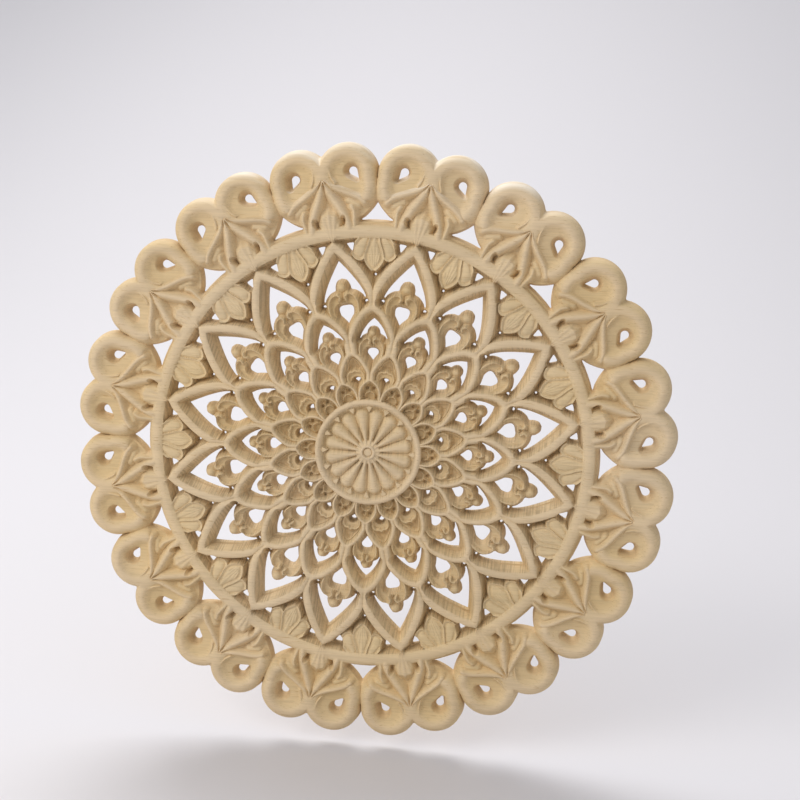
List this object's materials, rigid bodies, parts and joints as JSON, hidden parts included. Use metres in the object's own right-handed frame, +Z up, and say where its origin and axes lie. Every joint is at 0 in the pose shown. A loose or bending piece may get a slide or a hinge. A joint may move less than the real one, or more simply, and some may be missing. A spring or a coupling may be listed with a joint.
{
  "type": "carved wood applique",
  "caption": "Round flat-backed openwork rosette with a beaded scalloped border, petal-shaped openings and a fluted medallion.",
  "frame": {"origin": "centre of the flat back, where the applique meets the wall or panel it is fixed to", "axes": "-Y out of the carved front, +Y into the wall, +Z up through a gap between two pairs of beads"},
  "size_m": [0.2486, 0.008, 0.2486],
  "materials": {
    "raw_wood": "bare pale wood, sanded and unfinished, matt"
  },
  "bodies": {
    "root": {"carved_disc": "raw_wood"}
  },
  "joints": []
}
